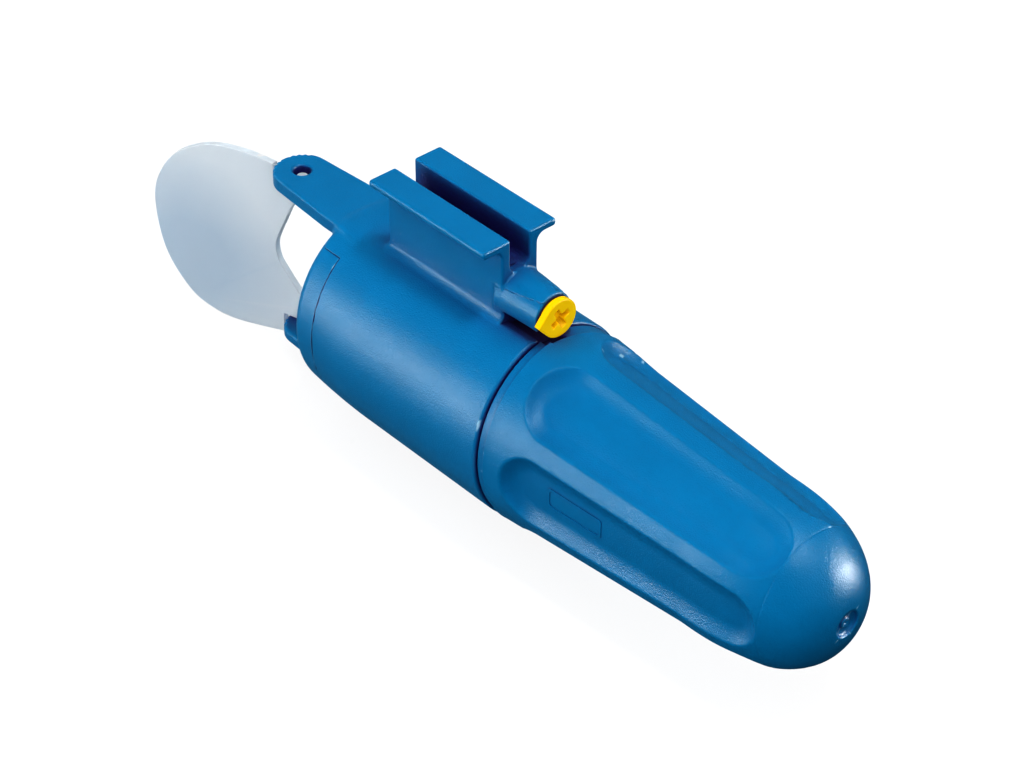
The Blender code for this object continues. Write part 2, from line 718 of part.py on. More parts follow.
def make_cell_holder():
    profile = [
        (HOLDER_REAR_X, 1.2 * MM),
        (HOLDER_REAR_X, HOLDER_FLANGE_R),
        (-SEAM_HALF_GAP - GAP, HOLDER_FLANGE_R),
        (-SEAM_HALF_GAP - GAP, SPIGOT_R),
        (SEAL_X - SEAL_GROOVE_HALF, SPIGOT_R),
        (SEAL_X - SEAL_GROOVE_HALF, SEAL_GROOVE_R),
        (SEAL_X + SEAL_GROOVE_HALF, SEAL_GROOVE_R),
        (SEAL_X + SEAL_GROOVE_HALF, SPIGOT_R),
        (SPIGOT_END_X - 0.5 * MM, SPIGOT_R),
        (SPIGOT_END_X, SPIGOT_R - 0.5 * MM),
        (SPIGOT_END_X, SPIGOT_BORE_R),
        (HOLDER_FACE_X, SPIGOT_BORE_R),
        (HOLDER_FACE_X, 1.2 * MM),
    ]
    finish("cell_holder", turned(profile, 48, hollow=True), "dark_plastic")
    finish("cap_seal", ring_of_wire(SEAL_X, SEAL_CENTRE_R, SEAL_WIRE_R, 48), "rubber")
    ring_x = HOLDER_FACE_X + GAP
    finish("collector_ring", tube(ring_x, ring_x + 0.3 * MM, 7.5 * MM, 9.2 * MM, 40), "brass")


def make_cell_spring():
    """Conical spring behind the cell, its wide end on the holder."""
    wire_r = 0.35 * MM
    turns = 3.5
    steps_per_turn = 16
    base_x = HOLDER_FACE_X + GAP + wire_r
    tip_x = CELL_REAR_X - GAP - wire_r
    steps = int(turns * steps_per_turn)
    curve = bpy.data.curves.new("cell_spring", "CURVE")
    curve.dimensions = "3D"
    curve.bevel_depth = wire_r
    curve.bevel_resolution = 1
    curve.use_fill_caps = True
    spline = curve.splines.new("POLY")
    spline.points.add(steps)
    for step, point in enumerate(spline.points):
        share = step / steps
        radius = (5.6 - 3.2 * share) * MM
        angle = TURN * turns * share
        x = base_x + (tip_x - base_x) * share
        point.co = (x, radius * math.cos(angle), radius * math.sin(angle), 1.0)
    curve.materials.append(make_material("cell_spring", *FINISHES["steel"]))
    spring = bpy.data.objects.new("cell_spring", curve)
    spring.location = SEAM
    bpy.context.scene.collection.objects.link(spring)


# -------------------------------------------------------------------- motor

def can_outline(inset):
    """Round (y, z) outline with flats above and below."""
    radius = CAN_R - inset
    flat = CAN_FLAT_Z - inset
    reach = math.degrees(math.asin(flat / radius))
    return arc((0, 0), radius, -reach, reach, 16) + arc((0, 0), radius, 180.0 - reach, 180.0 + reach, 16)


def make_motor_can():
    can = finish("motor_can", along_x(can_outline(0.0), CAN_REAR_X, CAN_FRONT_X), "steel")
    cut(can, along_x(can_outline(CAN_WALL), CAN_REAR_X + CAN_WALL, CAN_FRONT_X + MM))
    cut(can, rod(CAN_REAR_X - MM, CAN_REAR_X + 2 * MM, SHAFT_HOLE_R + 0.1 * MM, 24))
    inset = CAN_WALL + GAP
    bell = finish("motor_end_bell", along_x(can_outline(inset), BELL_REAR_X, BELL_FRONT_X), "white_plastic")
    join(bell, along_x(can_outline(0.4 * MM), BELL_FLANGE_X, BELL_FRONT_X + 0.01 * MM))
    cut(bell, rod(BELL_REAR_X - MM, BELL_FRONT_X + MM, SHAFT_HOLE_R, 24))


def magnet_outline(side):
    """Arc magnet against the can's round side."""
    reach = 42.0
    outer = arc((0, 0), 8.9 * MM, -reach, reach, 10)
    inner = arc((0, 0), 7.1 * MM, reach, -reach, 10)
    return [(side * y, z) for y, z in outer + inner]


def make_magnets():
    for name, side in (("motor_magnet_port", 1.0), ("motor_magnet_starboard", -1.0)):
        finish(name, along_x(magnet_outline(side), -29.0 * MM, -12.5 * MM), "ferrite")


def make_armature():
    """Three-pole core: a hub and, for each pole, a neck under a curved shoe."""
    core = finish("armature_core", rod(CORE_REAR_X, CORE_FRONT_X, 2.6 * MM, 24), "steel")
    shoe = arc((0, 0), CORE_R, -40.0, 40.0, 8) + arc((0, 0), CORE_R - 1.4 * MM, 40.0, -40.0, 8)
    for index in range(COIL_COUNT):
        turn = Matrix.Rotation(TURN * index / COIL_COUNT, 4, "X")
        neck = block((CORE_REAR_X, 1.5 * MM, -1.4 * MM), (CORE_FRONT_X, 5.6 * MM, 1.4 * MM))
        for part in (neck, along_x(shoe, CORE_REAR_X, CORE_FRONT_X)):
            part.transform(turn)
            join(core, part)
        finish(f"armature_coil_{index + 1}", coil_frame(turn), "copper")
    cut(core, rod(CORE_REAR_X - MM, CORE_FRONT_X + MM, SHAFT_HOLE_R, 24))


def coil_frame(turn):
    """Rectangular winding round one neck."""
    y_low = 2.95 * MM
    y_high = 4.1 * MM
    rings = []
    corners = ((-1, -1), (1, -1), (1, 1), (-1, 1))
    middle = (CORE_REAR_X + CORE_FRONT_X) / 2.0
    half_x = (CORE_FRONT_X - CORE_REAR_X) / 2.0 + GAP
    half_z = 1.4 * MM + GAP
    wire = 0.9 * MM
    for extra, y in ((0.0, y_low), (wire, y_low), (wire, y_high), (0.0, y_high)):
        rings.append([Vector((middle + a * (half_x + extra), y, b * (half_z + extra))) for a, b in corners])
    mesh_data = loft(rings, closed=True)
    mesh_data.transform(turn)
    return mesh_data


def make_shafts():
    finish("motor_shaft", rod(-33.9 * MM, -6.8 * MM, SHAFT_R, 24), "steel")
    finish("propeller_shaft", rod(SHAFT_END_X, -34.2 * MM, SHAFT_R, 24), "steel")
    finish("shaft_coupling", tube(-36.1 * MM, -32.1 * MM, SHAFT_HOLE_R, 2.3 * MM, 24), "brass")
    finish("commutator", tube(-13.2 * MM, -10.2 * MM, SHAFT_HOLE_R, 2.4 * MM, 24), "copper")
    bush = tube(SHAFT_BUSH["rear"], SHAFT_BUSH["front"], SHAFT_HOLE_R, SHAFT_BUSH["outer"], 24)
    finish("shaft_bush", bush, "brass")
    seal = tube(SHAFT_SEAL["rear"], SHAFT_SEAL["front"], SHAFT_HOLE_R, SHAFT_SEAL["outer"], 24)
    finish("shaft_seal", seal, "rubber")
    finish("thrust_washer", tube(-44.0 * MM, -43.5 * MM, SHAFT_HOLE_R, 2.2 * MM, 24), "steel")


def make_contacts():
    """Brushes on the commutator, and blades from the motor to the cell holder."""
    for name, side in (("motor_brush_upper", 1.0), ("motor_brush_lower", -1.0)):
        heights = sorted((side * 2.7 * MM, side * 3.1 * MM))
        finish(name, block((-13.0 * MM, -MM, heights[0]), (-9.3 * MM, MM, heights[1])), "copper")
    for name, side in (("motor_terminal_port", 1.0), ("motor_terminal_starboard", -1.0)):
        edges = sorted((side * 5.4 * MM, side * 5.8 * MM))
        low = (BELL_FRONT_X + GAP, edges[0], -1.5 * MM)
        finish(name, block(low, (HOLDER_REAR_X - GAP, edges[1], 1.5 * MM)), "brass")


def make_cradles():
    """Frames that carry the motor can in the oval housing."""
    for name, x in (("motor_cradle_rear", -29.0 * MM), ("motor_cradle_front", -14.0 * MM)):
        frame = finish(name, along_x(oval(1.0, WALL + GAP, 48), x, x + 3.0 * MM), "dark_plastic")
        cut(frame, along_x(can_outline(-GAP), x - MM, x + 4.0 * MM))


# ---------------------------------------------------------------- propeller

def blade(turn):
    """Twisted blade skinned through flat six-sided sections."""
    middle = (HUB_FRONT_X + HUB_REAR_X) / 2.0
    rings = []
    for radius, chord in ((1.9, 3.6), (3.6, 5.2), (5.6, 6.6), (7.4, 6.2), (8.5, 4.4), (9.0, 2.4)):
        pitch_angle = math.atan(BLADE_PITCH / (TURN * radius * MM))
        half = chord * MM / 2.0
        thick = BLADE_THICK / 2.0 * (1.3 - 0.06 * radius)
        section = [(-half, 0.0), (-half * 0.4, thick), (half * 0.4, thick), (half, 0.0),
                   (half * 0.4, -thick), (-half * 0.4, -thick)]
        ring = []
        for along, out in section:
            x = middle + along * math.sin(pitch_angle) + out * math.cos(pitch_angle)
            z = along * math.cos(pitch_angle) - out * math.sin(pitch_angle)
            ring.append(Vector((x, radius * MM, z)))
        rings.append(ring)
    mesh_data = loft(rings)
    mesh_data.transform(turn)
    return mesh_data


def make_propeller():
    propeller = finish("propeller", rod(HUB_REAR_X, HUB_FRONT_X, HUB_R, 24), "dark_plastic")
    for index in range(BLADE_COUNT):
        join(propeller, blade(Matrix.Rotation(TURN * index / BLADE_COUNT, 4, "X")))
    cut(propeller, rod(HUB_REAR_X - MM, HUB_FRONT_X + MM, SHAFT_HOLE_R, 24))
    front = HUB_REAR_X - GAP
    nut = [
        (front - 1.9 * MM, 0.0),
        (front - 1.8 * MM, 1.0 * MM),
        (front - 1.4 * MM, 1.7 * MM),
        (front, 2.1 * MM),
        (front, SHAFT_HOLE_R),
        (SHAFT_END_X - GAP, SHAFT_HOLE_R),
        (SHAFT_END_X - GAP, 0.0),
    ]
    finish("propeller_nut", turned(nut, 24), "brass")


# -------------------------------------------------------------------- build

def main():
    for piece in list(bpy.data.objects):
        bpy.data.objects.remove(piece)
    make_housing()
    make_rear_cover()
    make_knob()
    make_rudder()
    make_cap()
    make_cap_contact()
    make_cell()
    make_cell_holder()
    make_cell_spring()
    make_motor_can()
    make_magnets()
    make_armature()
    make_shafts()
    make_contacts()
    make_cradles()
    make_propeller()


main()
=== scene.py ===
import json
import math

import bpy
import numpy as np
from mathutils import Matrix, Vector


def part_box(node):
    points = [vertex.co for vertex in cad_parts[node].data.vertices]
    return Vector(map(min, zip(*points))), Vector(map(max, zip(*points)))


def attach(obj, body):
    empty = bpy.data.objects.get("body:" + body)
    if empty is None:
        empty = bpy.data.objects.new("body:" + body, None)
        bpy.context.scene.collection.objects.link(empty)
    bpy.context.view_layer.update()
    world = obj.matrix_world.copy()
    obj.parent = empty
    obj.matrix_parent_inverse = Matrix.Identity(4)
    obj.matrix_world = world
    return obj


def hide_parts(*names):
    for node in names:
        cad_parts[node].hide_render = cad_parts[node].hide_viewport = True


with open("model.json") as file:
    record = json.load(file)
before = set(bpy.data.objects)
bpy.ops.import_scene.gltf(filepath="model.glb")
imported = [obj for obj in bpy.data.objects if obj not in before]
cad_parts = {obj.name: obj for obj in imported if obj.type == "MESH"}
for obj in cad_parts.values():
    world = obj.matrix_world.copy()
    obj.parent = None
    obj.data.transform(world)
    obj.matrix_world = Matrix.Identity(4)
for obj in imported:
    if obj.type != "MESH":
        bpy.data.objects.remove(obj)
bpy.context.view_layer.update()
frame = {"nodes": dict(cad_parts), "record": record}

# Shapes are drawn in millimetres about the point where the body axis crosses the cap seam.
SEAM = np.array((19.8, 0.0, -29.7))
MM = 0.001
TURN = 2.0 * math.pi

BODY_HALF_Y = 15.1
BODY_HALF_Z = 16.7
BODY_DROP = 0.15
FRONT_X = -0.15
REAR_X = -43.2
COVER_SEAM_X = -38.2
PIVOT_X = -58.1

RAIL_REAR_X = -32.65
RAIL_FRONT_X = -6.92
WEB_HALF = 3.46
WEB_FOOT_Z = 10.0
WEB_TOP_Z = 28.3
FLANGE_HALF = 7.05
FLANGE_Z = 29.05
FLANGE_HALF_THICK = 0.65
CHANNEL_R = 1.86
CHANNEL_Z = 25.46

# Rudder tabs: lower and upper face, half width, radius of the round end.
TAB_TOP = (13.3, 15.9, 5.5, 4.65)
TAB_LOW = (-16.1, -14.1, 4.9, 4.3)
TAB_TAPER_X = -46.0
TAB_TAPER_LENGTH = 12.1
TAB_ROOT_X = -36.0
TAB_SINK_X = -43.0
TAB_SINK_LENGTH = 6.0
TAB_SINK = 1.2
TAB_HOLE_R = 1.45
TAB_BORE_R = 2.0
TAB_BORE_DEPTH = 0.65
NOTCH_PITCH = math.radians(13.0)
NOTCH_DEPTH = 0.24
NOTCH_REACH = NOTCH_PITCH * 4.5

KNOB_Z = 19.7
KNOB_R = 3.15
KNOB_POINT = 4.15
KNOB_REAR_X = 0.6
KNOB_FRONT_X = 1.8
KNOB_CROSS_TURN = math.radians(25.0)
KNOB_CROSS_HALF = 1.85
KNOB_CROSS_ARM = 0.52
KNOB_CROSS_FLOOR_X = 0.7
STEM_R = 1.6

WALL = 1.8
CAVITY_FRONT_X = -3.2
CAP_BORE_R = 12.0
STEM_BORE_R = 1.95
STEM_SEAL_R = 2.65


# ------------------------------------------------------------ distance fields

def round_max(a, b, r):
    """Intersection of two solids whose shared edge is rounded to r."""
    corner = np.hypot(np.maximum(a + r, 0.0), np.maximum(b + r, 0.0))
    return np.minimum(np.maximum(a, b), -r) + corner


def round_min(a, b, r):
    """Union of two solids with a fillet of radius r between them."""
    corner = np.hypot(np.maximum(r - a, 0.0), np.maximum(r - b, 0.0))
    return np.maximum(np.minimum(a, b), r) - corner


def between(t, low, high):
    return np.maximum(low - t, t - high)


def plate(u, v, half_u, half_v, r):
    """Rectangle with rounded corners."""
    a = np.abs(u) - half_u + r
    b = np.abs(v) - half_v + r
    return np.hypot(np.maximum(a, 0.0), np.maximum(b, 0.0)) + np.minimum(np.maximum(a, b), 0.0) - r


def oval(x, y, z, inset=0.0):
    """The body's oval section, narrowing and rising towards its rear end."""
    share = np.clip((-29.0 - x) / 14.2, 0.0, 1.0) ** 2
    y = y / (1.0 - 0.5 * share / BODY_HALF_Y)
    z = np.where(z < 0.0, z / (1.0 - 1.5 * share / BODY_HALF_Z), z) + BODY_DROP
    a = BODY_HALF_Y - inset
    b = BODY_HALF_Z - inset
    reach = np.hypot(y / a, z / b) + 1e-9
    slope = np.hypot(y / a ** 2, z / b ** 2) / reach + 1e-9
    return (reach - 1.0) / slope


def round_rear(x, y, z):
    return round_max(oval(x, y, z), REAR_X - x, 1.6)


def tab(x, y, z, size):
    """A rudder tab: straight sides, a round end with small detents, and a hole."""
    low, high, half_width, end_r = size
    away = np.hypot(x - PIVOT_X, y)
    swing = np.abs(math.pi - np.abs(np.arctan2(y, x - PIVOT_X)))
    notch = 0.5 + 0.5 * np.cos(TURN * swing / NOTCH_PITCH)
    notch = np.where(swing < NOTCH_REACH, notch, 0.0)
    end = away - (end_r - NOTCH_DEPTH * notch)
    lean = (half_width - end_r) / TAB_TAPER_LENGTH
    sides = np.abs(y) - half_width - np.minimum(x - TAB_TAPER_X, 0.0) * lean
    plan = np.where(x > PIVOT_X, sides, end)
    plan = np.maximum(plan, x - TAB_ROOT_X)
    sink = np.clip((x - TAB_SINK_X) / TAB_SINK_LENGTH, 0.0, 1.0)
    outer, inner = (z - high, low - z) if high > 0.0 else (low - z, z - high)
    slab = round_max(plan, outer + TAB_SINK * sink * sink, 0.35)
    slab = round_max(slab, inner, 0.6)
    slab = round_max(slab, TAB_HOLE_R - away, 0.45)
    return np.maximum(slab, -np.maximum(away - TAB_BORE_R, -TAB_BORE_DEPTH - inner))


def rails(x, y, z):
    """Two hull rails: a block with a flange on each side and a round-bottomed channel."""
    wall = np.maximum(np.abs(y) - WEB_HALF, np.maximum(z - WEB_TOP_Z, WEB_FOOT_Z - z))
    flange = plate(y, z - FLANGE_Z, FLANGE_HALF, FLANGE_HALF_THICK, 0.52)
    section = round_min(wall, flange, 1.4)
    solid = round_max(section, between(x, RAIL_REAR_X, RAIL_FRONT_X), 0.4)
    channel = np.hypot(y, np.minimum(z - CHANNEL_Z, 0.0)) - CHANNEL_R
    return round_max(solid, -channel, 0.4)


def barrel(x, y, z):
    """Sleeve of the lock knob: a slightly tapered barrel with a step along its side."""
    radius = 3.5 + 0.5 * (0.3 - x) / 7.22
    line = 22.0 + 0.5 * (x + 6.5) / 6.5
    raised = np.clip((z - line) / 0.16 + 0.5, 0.0, 1.0)
    cone = np.hypot(y, z - KNOB_Z) - radius - 0.16 * raised + 0.08
    web = np.maximum(np.abs(y) - 3.2, between(z, 12.0, KNOB_Z))
    solid = np.maximum(round_min(cone, web, 0.2), -8.5 - x)
    front = np.where(z > 16.8, x - 0.3, x - FRONT_X)
    return round_max(solid, front, 0.3)


def pocket(x, y, z):
    """Undercut beneath the barrel, with a ledge along its floor."""
    floor = np.where(y < -2.5, 16.0, 15.3)
    return np.maximum(np.maximum(between(x, -6.7, 2.0), between(y, -7.0, 1.0)), between(z, floor, 18.0))


def housing_field(x, y, z):
    """Hollow housing with its rails, tabs and knob barrel."""
    body = round_max(round_rear(x, y, z), x - FRONT_X, 0.5)
    slot = np.maximum(x - COVER_SEAM_X, between(z, TAB_LOW[1], TAB_TOP[0]))
    body = np.maximum(body, -slot)
    body = round_max(body, z - TAB_TOP[1] - np.maximum(x + 34.0, 0.0) * 0.1, 0.3)
    body = round_min(body, rails(x, y, z), 1.3)
    for size in (TAB_TOP, TAB_LOW):
        body = round_min(body, tab(x, y, z, size), 1.0)
    body = np.maximum(body, -np.maximum(slot, x + 44.5))
    body = round_min(body, barrel(x, y, z), 0.35)
    body = round_max(body, -pocket(x, y, z), 0.12)
    cavity = np.maximum(oval(x, y, z, WALL), between(x, COVER_SEAM_X - 0.3, CAVITY_FRONT_X))
    bore = np.maximum(np.hypot(y, z) - CAP_BORE_R, between(x, -4.2, 2.0))
    away = np.hypot(y, z - KNOB_Z)
    stem = np.maximum(away - STEM_BORE_R, between(x, -9.2, 2.0))
    stem = np.minimum(stem, np.maximum(away - STEM_SEAL_R, between(x, -2.8, 2.0)))
    holes = np.minimum(np.minimum(cavity, bore), stem)
    return round_max(body, -holes, 0.1)


def cover_field(x, y, z):
    """Rear cover with a plug inside the housing and a stepped bore for the shaft."""
    body = round_max(round_rear(x, y, z), x - (COVER_SEAM_X - 0.03), 0.05)
    plug = np.maximum(oval(x, y, z, 2.1), between(x, -41.0, -36.4))
    body = np.minimum(body, plug)
    body = np.maximum(body, between(z, TAB_LOW[1] + 0.02, TAB_TOP[0] - 0.02))
    away = np.hypot(y, z)
    bore = np.minimum(away - 1.35, np.maximum(away - 3.0, x + 40.9))
    bore = np.minimum(bore, np.maximum(away - 2.5, -39.9 - x))
    return round_max(body, -bore, 0.15)


def knob_field(x, y, z):
    """Knob about its own axis: a thin head with a pointer, a cross recess and a stem."""
    away = np.hypot(y, z)
    tangent = math.asin(KNOB_R / KNOB_POINT)
    wedge = np.maximum(
        -(y + KNOB_POINT) * math.sin(tangent) + np.abs(z) * math.cos(tangent),
        y + KNOB_R ** 2 / KNOB_POINT)
    plan = np.minimum(away - KNOB_R, wedge)
    head = round_max(plan, between(x, KNOB_REAR_X, KNOB_FRONT_X), 0.22)
    u = y * math.cos(KNOB_CROSS_TURN) + z * math.sin(KNOB_CROSS_TURN)
    v = z * math.cos(KNOB_CROSS_TURN) - y * math.sin(KNOB_CROSS_TURN)
    deep = np.clip((KNOB_FRONT_X - x) / 1.1, 0.0, 1.0)
    length = KNOB_CROSS_HALF - 0.75 * deep
    width = KNOB_CROSS_ARM - 0.17 * deep
    arms = np.minimum(plate(u, v, length, width, 0.15), plate(v, u, length, width, 0.15))
    arms = np.minimum(arms, away - 0.9 + 0.3 * deep)
    recess = round_max(arms, KNOB_CROSS_FLOOR_X - x, 0.1)
    head = round_max(head, -recess, 0.1)
    return np.minimum(head, np.maximum(away - STEM_R, between(x, -8.8, 0.65)))


# --------------------------------------------------------------- mesh makers

def lines(low, high, coarse, spots):
    """Grid lines from low to high that close up near each (place, reach, step)."""
    values = [low]
    while values[-1] < high:
        here = values[-1]
        step = coarse
        for place, reach, fine in spots:
            step = min(step, fine + 0.35 * max(abs(here - place) - reach, 0.0))
        values.append(here + step)
    return np.array(values)


def gradient(field, points, reach=0.01):
    """Slope of a field at each point, from differences over a short reach."""
    columns = []
    for axis in range(3):
        ahead = points.copy()
        behind = points.copy()
        ahead[:, axis] += reach
        behind[:, axis] -= reach
        columns.append((field(*ahead.T) - field(*behind.T)) / (2.0 * reach))
    return np.stack(columns, 1)


def skin(name, field, xs, ys, zs, shift):
    """Quads over the zero surface of a field, drawn on to it exactly, as a named object."""
    grid = np.meshgrid(xs, ys, zs, indexing="ij")
    values = field(*grid)
    inside = values < 0.0
    shape = tuple(n - 1 for n in values.shape)
    total = np.zeros(shape + (3,))
    count = np.zeros(shape)
    axes = (xs, ys, zs)
    crossings = []
    for axis in range(3):
        first = [slice(None)] * 3
        second = [slice(None)] * 3
        first[axis] = slice(0, -1)
        second[axis] = slice(1, None)
        a = values[tuple(first)]
        b = values[tuple(second)]
        cross = inside[tuple(first)] != inside[tuple(second)]
        share = np.where(cross, a / np.where(cross, a - b, 1.0), 0.0)
        crossings.append(cross)
        point = np.stack([g[tuple(first)] for g in grid], -1)
        steps = np.diff(axes[axis]).reshape([-1 if k == axis else 1 for k in range(3)])
        point[..., axis] += share * steps
        others = [k for k in range(3) if k != axis]
        for i in (0, 1):
            for j in (0, 1):
                part = [slice(None)] * 3
                part[others[0]] = slice(i, i + shape[others[0]])
                part[others[1]] = slice(j, j + shape[others[1]])
                hit = cross[tuple(part)]
                total += point[tuple(part)] * hit[..., None]
                count += hit
    active = count > 0
    index = np.full(shape, -1)
    index[active] = np.arange(active.sum())
    points = total[active] / count[active][:, None]
    quads = []
    for axis in range(3):
        others = [k for k in range(3) if k != axis]
        cells = np.argwhere(crossings[axis])
        fit = np.ones(len(cells), bool)
        for k in others:
            fit &= (cells[:, k] > 0) & (cells[:, k] < values.shape[k] - 1)
        cells = cells[fit]
        ring = []
        for i, j in ((1, 1), (0, 1), (0, 0), (1, 0)):
            corner = cells.copy()
            corner[:, others[0]] -= i
            corner[:, others[1]] -= j
            ring.append(index[tuple(corner.T)])
        ring = np.stack(ring, 1)
        flip = ~inside[tuple(cells.T)] ^ (axis == 1)
        ring[flip] = ring[flip][:, ::-1]
        quads.append(ring)
    quads = np.concatenate(quads)
    for _ in range(4):
        slope = gradient(field, points)
        size = (slope ** 2).sum(1) + 1e-9
        move = -(field(*points.T) / size)[:, None] * slope
        far = np.linalg.norm(move, axis=1, keepdims=True)
        points = points + move * np.minimum(1.0, 0.12 / np.maximum(far, 1e-9))
    slope = gradient(field, points, 0.03)
    normals = slope / np.maximum(np.linalg.norm(slope, axis=1, keepdims=True), 1e-9)
    mesh = bpy.data.meshes.new(name)
    mesh.from_pydata(((points + np.array(shift)) * MM).tolist(), [], quads.tolist())
    mesh.shade_smooth()
    mesh.normals_split_custom_set_from_vertices(normals.tolist())
    piece = bpy.data.objects.new(name, mesh)
    bpy.context.scene.collection.objects.link(piece)
    return piece


def mesh_object(name, points, faces, sharp=None):
    """Smooth-shaded object, with edges above the sharp angle kept crisp."""
    mesh = bpy.data.meshes.new(name)
    mesh.from_pydata([tuple(p) for p in points], [], faces)
    mesh.shade_smooth()
    if sharp is not None:
        mesh.set_sharp_from_angle(angle=math.radians(sharp))
    piece = bpy.data.objects.new(name, mesh)
    bpy.context.scene.collection.objects.link(piece)
    return piece


# --------------------------------------------------------------------- cap

RECESS_HALF = 23.5
RECESS_REAR_X = 4.9
RECESS_FRONT_X = 52.3
NOSE_X = 38.6
NOSE_LENGTH = 21.2
NOSE_FULLNESS = 2.43
RECESS_WALL_WIDTH = 2.8
RECESS_WALL_DEPTH = 1.75
RECESS_FLOOR_DEPTH = 0.35
CAP_SECTORS = 6
SECTOR = 360.0 / CAP_SECTORS
BADGE_REAR_X = 13.4
BADGE_FRONT_X = 22.6
BADGE_CENTRE_X = 18.0
BADGE_CENTRE_TURN = 179.0


def cap_scale(x):
    """Size of the cap's section against the seam's: a slight taper, then the nose."""
    straight = 1.0 - 0.0045 * min(x, NOSE_X)
    share = min(max((x - NOSE_X) / NOSE_LENGTH, 0.0), 1.0)
    return straight * (1.0 - share ** NOSE_FULLNESS) ** (1.0 / NOSE_FULLNESS)


def recess_depth(x, degrees, scale):
    """Depth of the finger recesses: crisp edges, steep walls and a flatter floor."""
    offset = (degrees + SECTOR / 2.0) % SECTOR - SECTOR / 2.0
    half_width = math.radians(RECESS_HALF) * BODY_HALF_Y * scale
    across = offset / RECESS_HALF
    rear = max(RECESS_REAR_X + half_width - x, 0.0) / half_width
    front = max(x - RECESS_FRONT_X + half_width, 0.0) / half_width
    inward = (1.0 - math.sqrt(across ** 2 + rear ** 2 + front ** 2)) * half_width
    inward = 0.5 * (inward + math.sqrt(inward ** 2 + 0.1 ** 2))
    if inward < 0.015:
        return 0.0
    wall = 1.0 - (1.0 - min(inward / RECESS_WALL_WIDTH, 1.0)) ** 2
    floor = 1.0 - (1.0 - min(inward / half_width, 1.0)) ** 2
    return scale * (RECESS_WALL_DEPTH * wall + RECESS_FLOOR_DEPTH * floor)


def cap_point(x, degrees, drop=0.0):
    """Point on the cap's skin, or drop below it."""
    scale = cap_scale(x)
    a = BODY_HALF_Y * scale
    b = BODY_HALF_Z * scale
    angle = math.radians(degrees)
    reach = 1.0 / math.hypot(math.cos(angle) / a, math.sin(angle) / b)
    groove = 0.05 * math.exp(-((x - RECESS_FRONT_X - 0.1) / 0.11) ** 2)
    reach -= recess_depth(x, degrees, scale) + drop + groove
    return (x, reach * math.cos(angle), reach * math.sin(angle) - BODY_DROP * scale)


def band_edge(degrees):
    """Front edge of the rim band: level, a step under the knob, then a ramp to port."""
    if 56.0 <= degrees <= 96.0:
        return 1.9 + 1.4 * (96.0 - degrees) / 40.0
    if 20.0 <= degrees < 56.0:
        share = (degrees - 20.0) / 36.0
        return 1.5 + 1.8 * share * share * (3.0 - 2.0 * share)
    return 1.5


def cap_columns():
    """Directions of the cap's mesh columns, closer together along the recess walls."""
    spots = [(-RECESS_HALF + 3.0, 4.0, 0.7), (RECESS_HALF - 3.0, 4.0, 0.7)]
    offsets = lines(-SECTOR / 2.0, SECTOR / 2.0, 1.7, spots)
    offsets = -SECTOR / 2.0 + (offsets - offsets[0]) * SECTOR / (offsets[-1] - offsets[0])
    degrees = [SECTOR * k + offset for k in range(CAP_SECTORS) for offset in offsets[:-1]]
    degrees += [85.7, 85.9, 98.3, 98.5, 96.0]
    return sorted(degree % 360.0 for degree in degrees)


